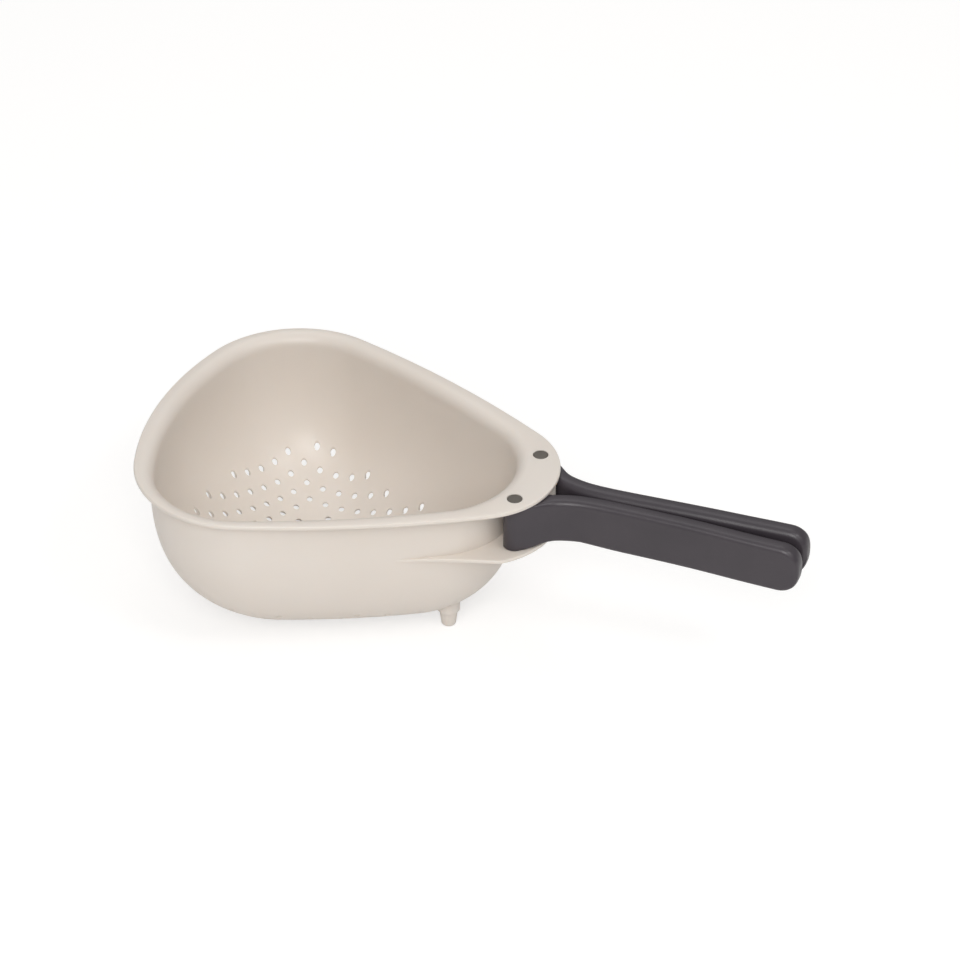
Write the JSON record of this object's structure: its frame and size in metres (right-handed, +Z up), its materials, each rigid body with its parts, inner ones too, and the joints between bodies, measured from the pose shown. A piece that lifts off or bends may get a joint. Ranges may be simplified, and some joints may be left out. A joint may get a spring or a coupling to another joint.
{
  "type": "collapsible colander",
  "caption": "Deep rounded-triangle strainer bowl with drain holes, turned-out rim and small feet; its long split handle folds back along both sides of the bowl on pivot pins.",
  "frame": {"origin": "bottom centre of the bounding box: the counter under the middle of the whole length, with the feet at Z = 0", "axes": "+X towards the handle along the mirror plane, +Y to the back half, +Z up"},
  "size_m": [0.4142, 0.218, 0.1105],
  "materials": {
    "bowl_plastic": "satin moulded, pale warm white",
    "grip_plastic": "soft matte, dark grey",
    "pin_plastic": "matte moulded, mid grey"
  },
  "bodies": {
    "bowl_body": {"bowl": "bowl_plastic", "pivot_pin_front": "pin_plastic", "pivot_pin_back": "pin_plastic"},
    "grip_front_body": {"grip_front": "grip_plastic"},
    "grip_back_body": {"grip_back": "grip_plastic"}
  },
  "joints": [
    {"name": "grip_front_fold", "type": "hinge", "parent": "bowl_body", "child": "grip_front_body", "pos_m": [0.03358, -0.0241, 0.0917], "axis": [0, 0, -1], "range_deg": [0, 154]},
    {"name": "grip_back_fold", "type": "hinge", "parent": "bowl_body", "child": "grip_back_body", "pos_m": [0.03358, 0.0241, 0.0917], "axis": [0, 0, 1], "range_deg": [0, 154]}
  ]
}
